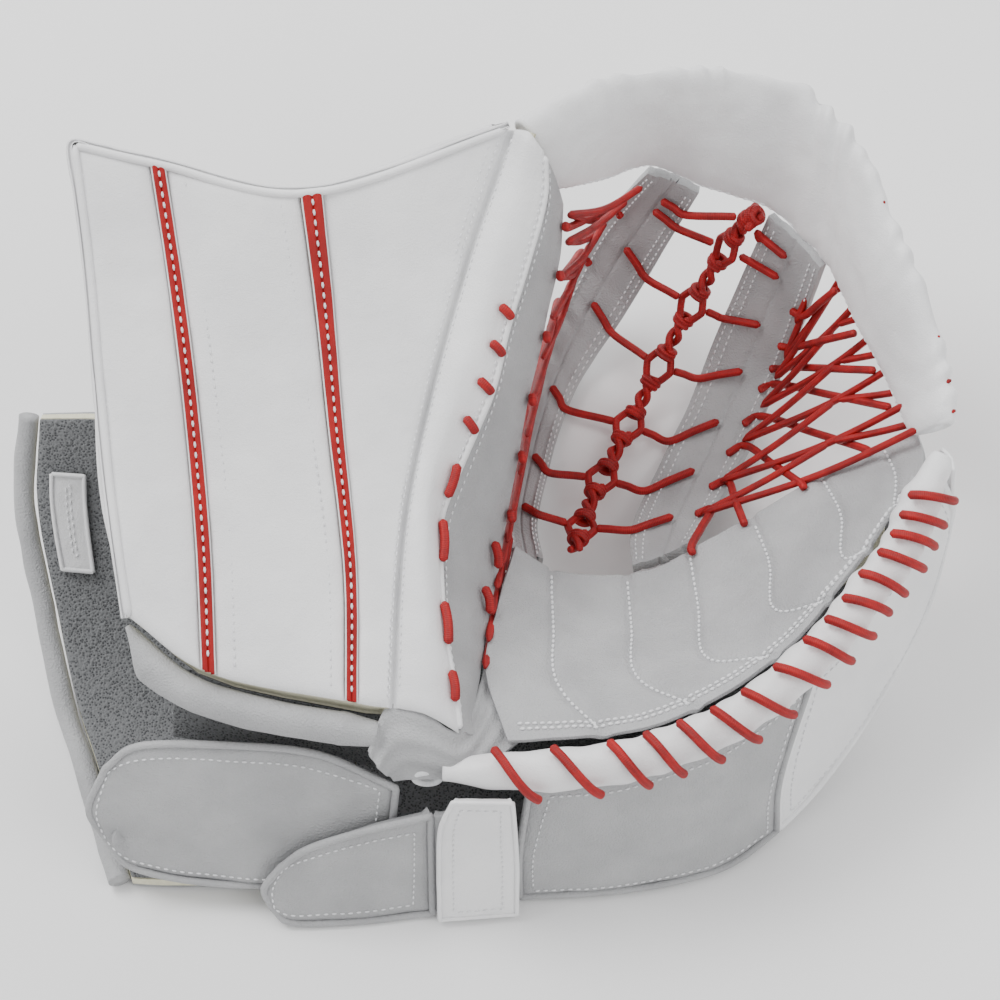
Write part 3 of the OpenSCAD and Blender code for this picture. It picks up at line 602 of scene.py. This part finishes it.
rows.append(seam(front["outer"], [0.06, 0.06], [0.02, 0.98], -0.0006, 120))
rows.append(seam(front["centre"], [0.16, 0.16], [0.02, 0.98], 0.0002, 120))
rows.append(seam(front["centre"], [0.86, 0.86], [0.02, 0.98], 0.0002, 120))
sew("cuff_stitches", "thumb", rows)

# Two red folded bindings run down the cuff, each stitched down its middle with white thread.
red_binding = Finish("red_binding", rough=0.65)
weave = red_binding.bands(900, "X") * red_binding.bands(900, "Y")
red_binding.colour(red_binding.noise(60, 4), [(0.3, (0.34, 0.001, 0.002)), (0.7, (0.52, 0.003, 0.004))])
red_binding.bump(weave + red_binding.noise(900) * 0.5, 0.00025)
for which in ("outer", "inner"):
    skin = leather_face("cuff_stripe_" + which, (0, 0, 1), (0, -1, 0))

    def fold(uu, vv, skin=skin):
        ridge = np.sqrt(np.clip(1 - (np.abs((uu * 2) % 1 - 0.5) * 2) ** 2, 0, 1))
        return 0.0011 * ridge - 0.0002 + 0.0003 * crumple(skin.at(uu, vv), 120, 9)
    mesh = spread(which, skin, (24, 200), fold)
    finished("cuff_binding_" + which, mesh, "thumb", [red_binding], ["cuff_stripe_" + which], 0.0016, "red_binding")
    sew("cuff_binding_stitches_" + which, "thumb", [seam(skin, [0.5, 0.5], [0.01, 0.99], 0.0003, 120)], every=0.0042, length=0.0028, thick=0.0006)
    edging = bmesh.new()
    for u in (0.0, 1.0):
        pipe(edging, skin.at(np.full(90, u), np.linspace(0, 1, 90), -0.0006), 0.0005, 8, close=True)
    finished("cuff_binding_edge_" + which, edging, "thumb", [grain_white])

# The side wall stands along the left and top edges, with white piping where it meets the front.
wall_skin = tube_faces("cuff_edge_gusset", (1, 0, 0), (0, 0, 1))[0]
mesh = spread("wall", wall_skin, (120, 36), lambda uu, vv: 0.0006 + 0.0005 * crumple(wall_skin.at(uu, vv), 60, 4))
finished("cuff_side_wall", mesh, "thumb", [grain_white], ["cuff_edge_gusset"], closed=True, slot="white_leather")
edging = bmesh.new()
left_edge = front["outer"].at(np.zeros(90), np.linspace(1, 0, 90), 0.0002)
top_edge = np.concatenate([front[k].at(np.linspace(0.02, 0.98, 30), np.zeros(30), 0.0002) for k in ("outer", "centre", "inner")])
for line in (left_edge, top_edge):
    pipe(edging, line, 0.0017, 10)
finished("cuff_piping", edging, "thumb", [grain_white])
roll_skin = tube_faces("cuff_bottom_roll", (1, 0, 0), (0, 0, 1))[0]


def rolled(uu, vv):
    places = roll_skin.at(uu, vv)
    return 0.0018 + 0.0012 * crumple(places, 32, 7) + 0.0003 * crumple(places, 90, 2)


finished("cuff_roll", spread("roll", roll_skin, (150, 40), rolled), "thumb", [grain_grey], ["cuff_bottom_roll"], closed=True, slot="grey_leather")
foam_yellow = Finish("foam", rough=0.9)
foam_yellow.colour(foam_yellow.noise(400), [(0.3, (0.7, 0.68, 0.5)), (0.7, (0.8, 0.77, 0.6))]).bump(foam_yellow.cells(1800), 0.0003)
mesh_dark = Finish("spacer_mesh", rough=0.85, sheen=0.2)
holes = mesh_dark.cells(900)
mesh_dark.colour(holes, [(0.2, (0.05, 0.052, 0.056)), (0.5, (0.19, 0.195, 0.2))]).bump(holes + mesh_dark.noise(1500) * 0.2, 0.0005)
board_black = Finish("stiff_board", rough=0.45)
board_black.colour(board_black.noise(90), [(0.3, (0.02, 0.02, 0.022)), (0.7, (0.035, 0.035, 0.04))]).bump(board_black.noise(1800), 0.0001)

# ---------- thumb ----------
# The thumb's cover is smooth white leather over foam, and a grey wall turns from its edge down into the pocket.
thumb_skin = leather_face("thumb_cover", (0, 0, 1), (0, -1, 0))
thumb_drop = rim_drop(thumb_skin, 0.002, 0.006)


def thumb_lift(uu, vv):
    places = thumb_skin.at(uu, vv)
    return thumb_drop(uu, vv) + 0.001 + 0.001 * crumple(places, 24, 2) + 0.0003 * crumple(places, 80, 8)


finished("thumb_leather", spread("thumb", thumb_skin, (50, 180), thumb_lift), "thumb", [grain_white], ["thumb_cover"], 0.0018, "white_leather")
wall_in = leather_face("thumb_wall", (1, 0, 0.3), (0, -1, 0))
finished("thumb_inner_wall", spread("w", wall_in, (60, 180), lambda uu, vv: 0.0008 * crumple(wall_in.at(uu, vv), 40, 1) + 0.0003), "thumb",
         [grain_grey], ["thumb_wall"], 0.0018, "grey_leather")
back_in = leather_face("thumb_back", (-1, 0, -0.3), (0, -1, 0))
finished("thumb_outer_back", spread("b", back_in, (60, 110), lambda uu, vv: 0.0007 * crumple(back_in.at(uu, vv), 40, 6)), "thumb",
         [grain_grey], ["thumb_back"], 0.0018, "grey_leather")
stall = tube_faces("thumb_stall", (1, 0, 0), (0, 0, 1))[0]
finished("thumb_stall_mesh", spread("s", stall, (60, 40), lambda uu, vv: 0.0005 * crumple(stall.at(uu, vv), 70, 2)), "thumb",
         [mesh_dark], ["thumb_stall"], 0.0016, "dark_lining")
valley = Skin([front["inner"].at(np.full(24, 0.96), np.linspace(0, 1, 24), -0.001), (front["inner"].at(np.ones(24), np.linspace(0, 1, 24), -0.0035)
              + thumb_skin.at(np.zeros(24), np.linspace(0, 1, 24), -0.0035)) / 2, thumb_skin.at(np.full(24, 0.05), np.linspace(0, 1, 24), -0.001)],
              False, (0, -0.4, 0.8))
finished("cuff_thumb_seam", spread("v", valley, (16, 160)), "thumb", [grain_white], (), 0.001)
edging = bmesh.new()
pipe(edging, thumb_skin.at(np.ones(140), np.linspace(0.01, 0.99, 140), 0.0), 0.0015, 10)
finished("thumb_piping", edging, "thumb", [grain_white])
sew("thumb_stitches", "thumb", [seam(thumb_skin, [0.92, 0.92], [0.02, 0.6], thumb_lift, 120), seam(wall_in, [0.09, 0.09], [0.02, 0.97], 0.0006, 120),
                                seam(thumb_skin, [0.06, 0.06], [0.02, 0.98], thumb_lift, 120)])

# ---------- tee ----------
# The tee is one padded roll across the top and down the finger side, in white leather that is gathered on
# its inner side. Its corner is the fold that the glove closes on.
tee_top = tube_faces("tee_top_cover", (1, 0, 0), (0, 0, 1), 0.25)[0].points[:13][::-1]
tee_side = tube_faces("tee_side_cover", (0, 1, 0), (0, 0, 1), 0.25)[0].points[:17]
matched = []
for ring in np.concatenate([tee_top, tee_side]):
    if matched:
        tries = [np.roll(way, k, axis=0) for way in (ring, ring[::-1]) for k in range(len(ring))]
        ring = min(tries, key=lambda r: np.linalg.norm((r - r.mean(0)) - (matched[-1] - matched[-1].mean(0))))
    matched.append(ring)
middles = np.array([r.mean(0) for r in matched])
keep = [0]
for i in range(1, len(middles)):
    if np.linalg.norm(middles[i] - middles[keep[-1]]) > 0.006:
        keep.append(i)
matched = [matched[i] for i in keep]
ends = []
for ring, other in ((matched[0], matched[1]), (matched[-1], matched[-2])):
    out = (ring.mean(0) - other.mean(0)) / np.linalg.norm(ring.mean(0) - other.mean(0))
    ends.append([ring.mean(0) + (ring - ring.mean(0)) * g + out * o for g, o in ((0.92, 0.004), (0.7, 0.007), (0.3, 0.008))])
tee = Skin(np.array(ends[0][::-1] + matched + ends[1]), True, matched[len(matched) // 2][0] - matched[len(matched) // 2].mean(0))
inner_v = max(np.linspace(0, 1, 48, endpoint=False),
                      key=lambda v: tee.normal([0.5], [v])[0] @ ((0.09, 0.06, 0.1) - tee.flat([0.5], [v])[0]))
front_v = max(np.linspace(0, 1, 48, endpoint=False), key=lambda v: tee.normal([0.5], [v])[0] @ np.array((0.0, -0.5, 0.87)))


def gathered(uu, vv):
    places = tee.at(uu, vv)
    inner = np.clip(np.cos((vv - inner_v) * 2 * math.pi), 0, 1)
    pleats = np.sin(uu * 120 + 2.2 * np.sin(uu * 37) + 3 * np.cos((vv - inner_v) * 2 * math.pi))
    corner_folds = np.exp(-((uu - 0.5) / 0.07) ** 2) * np.sin(uu * 190 + 2 * np.sin(vv * 2 * math.pi))
    return (0.001 + 0.0013 * crumple(places, 38, 11) + 0.0008 * pleats * inner + 0.0012 * corner_folds * (0.3 + inner)
            + 0.0004 * crumple(places, 110, 3))


hinge_side = Vector((0.117, 0.157, 0.13)), Vector((0.135, 0.143, 0.13))
finished("tee_leather", spread("t", tee, (330, 72), gathered), "hand", [grain_white],
         ["tee_top_cover", "tee_side_cover", "tee_corner_gusset", "tee_top_foam", "tee_top_core", "tee_side_foam", "tee_side_core"],
         0, "white_leather", blend=("thumb", "hand", hinge_side[0], hinge_side[1]), closed=True)
sew("tee_stitches", "hand", [seam(tee, [0.07, 0.93], [inner_v + off, inner_v + off], gathered, 260) for off in (0.14, 0.17)]
    + [seam(tee, [0.07, 0.93], [front_v + 0.02, front_v + 0.02], gathered, 260)], every=0.004, length=0.0028, thick=0.0005,
    blend=("thumb", "hand", hinge_side[0], hinge_side[1]))

# ---------- pocket strips ----------
# Two light leather straps run from the tee to the heel, each folded double, with stitched borders.
for which, body in (("thumb", "thumb"), ("finger", "hand")):
    skin = leather_face("pocket_strip_" + which, (0, 0, 1), (0, -1, 0))
    front["strip_" + which] = skin

    def bordered(uu, vv, skin=skin):
        edge = np.minimum(uu, 1 - uu)
        border = 0.0009 * (1 / (1 + np.exp((edge - 0.2) * 60)))
        crease = -0.0008 * np.exp(-((uu - 0.5) / 0.03) ** 2)
        return border + crease + 0.0004 * crumple(skin.at(uu, vv), 60, 2)
    finished("strip_" + which + "_leather", spread("s", skin, (48, 200), bordered), body, [grain_grey], ["pocket_strip_" + which], 0.004,
             "grey_leather")
    sew("strip_" + which + "_stitches", body, [seam(skin, [u, u], [0.01, 0.99], bordered, 140) for u in (0.07, 0.17, 0.83, 0.93)])

# ---------- pocket net and laces ----------
# Round waxed laces: rungs cross each strip and are knotted to a twisted chain down the middle of the pocket.
red_lace = Finish("red_lace", rough=0.6)
plait = red_lace.bands(420, "X") + red_lace.bands(1.6, "Y")
red_lace.colour(red_lace.noise(140, 4) * 0.7 + plait * 0.15, [(0.3, (0.2, 0.0, 0.001)), (0.75, (0.46, 0.002, 0.003))])
red_lace.bump(plait + red_lace.noise(900) * 0.5, 0.00012)


def laces(name, node, body, grow=1.0, twist=170, blend=None):
    mesh = bmesh.new()
    for line, radii in spines(node):
        run = np.linalg.norm(np.diff(line, axis=0), axis=1).sum()
        count = max(12, int(run / 0.0011))
        r = np.interp(np.linspace(0, 1, count), np.linspace(0, 1, len(radii)), radii)
        pipe(mesh, fair(line, count), r * grow, 12, twist, 0.0)
    return finished(name, mesh, body, [red_lace], [node], slot="red_lace", blend=blend)


laces("net_laces_thumb", "net_thumb_side", "thumb", 0.85)
laces("net_laces_finger", "net_finger_side", "hand", 0.85)

# The chain is a pair of laces that twist round each other and open into a small square at each rung.
chain_line = fair(spines("net_centre_chain")[0][0], 420)
share = np.linspace(0, 1, 420)
tangent = np.gradient(chain_line, axis=0)
tangent /= np.linalg.norm(tangent, axis=1, keepdims=True)
beside = np.cross(tangent, (0, 0, 1.0))
beside /= np.linalg.norm(beside, axis=1, keepdims=True)
above = np.cross(beside, tangent)
local = (share * 7) % 1
opening = np.clip(1 - np.abs(local - 0.5) / 0.23, 0, 1) ** 0.7
turn = (np.floor(share * 7) + np.clip((np.abs(local - 0.5) - 0.23) / 0.27, 0, 1) * np.sign(local - 0.5) * 0.5) * 2 * math.pi
chain = bmesh.new()
for side in (0, math.pi):
    narrow = 0.0019
    reach = beside * ((narrow + 0.0042 * opening) * np.cos(turn * (opening == 0) + side))[:, None]
    pipe(chain, chain_line + reach + above * (narrow * np.sin(turn + side) * (opening == 0))[:, None], 0.0017, 10)
for k in range(7):
    for offset in (-0.033, 0.033):
        i = int(np.clip((k + 0.5) / 7 + offset, 0.01, 0.99) * 419)
        angle = np.linspace(0, 4.4 * math.pi, 46)
        wrap = (chain_line[i] + beside[i] * (np.cos(angle) * 0.0036)[:, None] + above[i] * (np.sin(angle) * 0.0032)[:, None]
                + tangent[i] * np.linspace(-0.002, 0.002, 46)[:, None])
        pipe(chain, wrap, 0.0014, 8)
finished("net_chain", chain, "hand", [red_lace], ["net_centre_chain"], slot="red_lace")

# Beside each strip a finer net closes the pocket: laces cross in diamonds to the thumb wall and to the tee.
bundle = bmesh.new()
for i in range(15):
    v = 0.03 + i * 0.06
    start = wall_in.at([0.94], [v * 0.93], 0.003)[0]
    for step in (-0.035, 0.06):
        end = front["strip_thumb"].at([0.06], [min(0.97, max(0.02, v * 1.08 + step))], 0.004)[0]
        middle = (start + end) / 2 + np.array((0, 0, -0.006 + 0.003 * (i % 2)))
        pipe(bundle, fair([start, middle, end], 26), 0.0016, 8)
finished("net_thumb_diamonds", bundle, "thumb", [red_lace], slot="red_lace")
diamonds = bmesh.new()
held = [front["strip_finger"].at([0.93], [v], 0.0035)[0] for v in np.linspace(0.14, 0.86, 7)]
tied = [tee.at([u], [inner_v - 0.06], 0.001)[0] for u in np.linspace(0.56, 0.93, 7)]
knots = [(h + t) / 2 + np.array((0, 0, -0.008)) for h, t in zip(held, tied)]
for i in range(7):
    pipe(diamonds, fair([held[i], knots[i], tied[i]], 30), 0.0016, 8)
    if i < 6:
        pipe(diamonds, fair([held[i + 1], (held[i + 1] + knots[i]) / 2 + (0, 0, -0.002), knots[i]], 18), 0.0016, 8)
        pipe(diamonds, fair([knots[i], (knots[i] + tied[i + 1]) / 2 + (0, 0, -0.002), tied[i + 1]], 18), 0.0016, 8)
finished("net_tee_diamonds", diamonds, "hand", [red_lace], slot="red_lace")
laces("thumb_laces", "thumb_lacing", "thumb", 0.85)
laces("roll_laces", "roll_lacing", "hand", 0.85)

# ---------- palm ----------
# The palm is fine grained grey leather over foam, quilted by rows of white stitches across it.
palm = leather_face("palm_cover", (0, 0, 1), (1, 0.3, 0), 0.1)
across, along = palm.span()
quilt = (0.13, 0.3, 0.47, 0.64, 0.8, 0.93)


def quilted(uu, vv):
    gap = np.min([np.abs(vv - q) for q in quilt], axis=0) * along
    places = palm.at(uu, vv)
    return 0.0009 - 0.0015 * np.exp(-(gap / 0.0022) ** 2) + 0.0008 * crumple(places, 35, 4) + 0.0003 * crumple(places, 120, 5)


finished("palm_leather", spread("p", palm, (90, 220), quilted), "hand", [grain_grey], ["palm_cover"], 0.0018, "grey_leather")
sew("palm_stitches", "hand", [seam(palm, [0.05, 0.97], [q, q], quilted, 100) for q in quilt]
    + [seam(palm, [u, u], [0.02, 0.98], quilted, 160) for u in (0.05, 0.075)], every=0.003, length=0.0025, thick=0.0007)

# ---------- finger roll ----------
# A soft white roll runs from the heel to the fingertips, wrinkled where the whip laces pull it in.
roll = tube_faces("finger_roll", (-1, 0, 0), (0, 0, 1))[0]
roll_length = roll.span()[0]


def wrinkled(uu, vv):
    places = roll.at(uu, vv)
    pull = np.sin(uu * 2 * math.pi * 16)
    return 0.0014 + 0.0004 * pull + 0.0009 * crumple(places, 48, 6) + 0.0005 * crumple(places, 130, 2)


finished("finger_roll_leather", spread("r", roll, (260, 56), wrinkled), "hand", [grain_white], ["finger_roll"], closed=True,
         slot="white_leather")

# The heel is a folded piece of grey leather between the thumb, the palm and the roll, over the crease where
# the glove closes.
heel_high = np.array([roll_skin.flat([0.01], [0.25])[0], front["inner"].at([0.99], [0.995], -0.004)[0], thumb_skin.at([0.5], [0.995], -0.003)[0],
                      wall_in.at([0.4], [0.98], -0.002)[0], palm.at([0.5], [0.01], -0.004)[0]])
heel_low = np.array([(-0.036, -0.126, 0.068), (-0.029, -0.1275, 0.072), (-0.018, -0.1285, 0.0745), (-0.004, -0.1285, 0.0755),
                     palm.at([0.03], [0.02], -0.003)[0]])
heel = Skin([heel_high, (heel_high + heel_low) / 2 + (0, -0.004, 0.003), heel_low], False, (0, -0.6, 0.8))
finished("heel_fold", spread("h", heel, (40, 90), lambda uu, vv: 0.0008 * crumple(heel.at(uu, vv), 70, 3) + 0.0005 * np.sin(uu * 20)), "hand",
         [grain_grey], (), 0.0016, "grey_leather", blend=("thumb", "hand", tuple(heel_high.mean(0)), tuple(heel_low.mean(0))))

# ---------- finger side, wrist and straps ----------
# The padded outer walls, the wrap round the back of the wrist and the two pull straps, with bound edges.
for node, facing, way, body, finish, slot_name, wall, puff, bound in [
        ("finger_shield", (0, -1, 0), (1, 0, 0), "hand", grain_grey, "grey_leather", 0.007, 0.0025, True),
        ("fingertip_shell", (0, -1, 0), (1, 0, 0), "hand", grain_white, "white_leather", 0.007, 0.0025, True),
        ("fingertip_base", (0, 0, -1), (1, 0, 0), "hand", grain_white, "white_leather", 0.0035, 0.001, False),
        ("fingertip_end", (1, 0, 0), (0, 1, 0), "hand", grain_white, "white_leather", 0.0018, 0.0006, False),
        ("index_wall", (0, 1, 0), (1, 0, 0), "hand", grain_white, "white_leather", 0.0028, 0.0006, False),
        ("wrist_cover", (0, 0, -1), (0, -1, 0), "hand", grain_grey, "grey_leather", 0.0018, 0.0008, False),
        ("wrist_lining", (0, 0, 1), (0, -1, 0), "hand", mesh_dark, "dark_lining", 0.001, 0.0005, False),
        ("wrist_tab", (0, 0, 1), (1, 0, 0), "hand", grain_white, "white_leather", 0.0016, 0.0005, True),
        ("cuff_lining", (0, 0, -1), (0, -1, 0), "thumb", mesh_dark, "dark_lining", 0.001, 0.0005, False),
        ("palm_lining", (0, 0, -1), (1, 0.3, 0), "hand", mesh_dark, "dark_lining", 0.001, 0.0004, False),
        ("wrist_strap_pad", (0, -1, 0), (1, 0, 0), "wrist_strap", grain_grey, "grey_leather", 0.0075, 0.0035, True),
        ("hand_strap_pad", (0, -1, 0), (1, 0, 0), "hand_strap", grain_grey, "grey_leather", 0.0055, 0.0025, True),
        ("strap_anchor", (0, -1, 0), (1, 0, 0), "hand", grain_grey, "grey_leather", 0.0045, 0.001, False),
        ("keeper_tab", (0, -1, 0), (0, 0, 1), "hand", grain_white, "white_leather", 0.003, 0.001, True)]:
    skin = leather_face(node, facing, way)
    drop = rim_drop(skin, puff, 0.009 if puff > 0.002 else 0.003)

    def padded_lift(uu, vv, skin=skin, drop=drop, puff=puff):
        places = skin.at(uu, vv)
        return drop(uu, vv) + puff * 0.35 + 0.3 * puff * crumple(places, 45, 3) + 0.0003 * crumple(places, 130, 4)
    size = skin.span()
    steps = (max(8, int(size[0] / 0.0016)), max(8, int(size[1] / 0.0016)))
    finished(node + "_piece", spread(node, skin, steps, padded_lift), body, [finish], [node], wall, slot_name)
    if bound:
        edging = bmesh.new()
        e, m = np.linspace(0, 1, 60), np.full(60, 0.0)
        loop = np.concatenate([skin.at(e, m), skin.at(m + 1, e)[1:], skin.at(e[::-1], m + 1)[1:], skin.at(m, e[::-1])[1:]])
        pipe(edging, loop, 0.0016 if wall > 0.004 else 0.001, 8, close=True)
        finished(node + "_binding", edging, body, [grain_grey if finish is grain_grey else grain_white])
        a, b = 0.006 / size[0], 0.006 / size[1]
        sew(node + "_stitches", body, [seam(skin, [a, a, 1 - a, 1 - a, a], [b, 1 - b, 1 - b, b, b], padded_lift, 200)])
sleeve = leather_face("wrist_sleeve", (0, -1, 0), (1, 0, 0))
sleeve_piece = finished("wrist_mesh_sleeve", spread("s", sleeve, (30, 90), lambda uu, vv: 0.0004 * crumple(sleeve.at(uu, vv), 60, 3)), "hand",
                        [mesh_dark], ["wrist_sleeve"], 0.001, "dark_lining")
rim = tube_faces("wrist_rim_binding", (-1, 0, 0), (0, 0, 1))[0]
finished("wrist_rim", spread("r", rim, (140, 28), lambda uu, vv: 0.0006 * crumple(rim.at(uu, vv), 80, 3)), "hand", [grain_grey],
         ["wrist_rim_binding"], closed=True, slot="grey_leather")

for node, finish in [(n, foam_yellow) for n in ("cuff_foam", "thumb_foam", "palm_foam", "wrist_foam", "hand_back_foam")] + [
        (n, board_black) for n in ("cuff_board", "hand_board")] + [
        (n, mesh_dark) for n in ("hand_back_lining", "finger_dividers")] + [("webbing_loop", thread_white)]:
    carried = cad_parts[node]
    carried.data.materials.clear()
    carried.data.materials.append(finish.made)
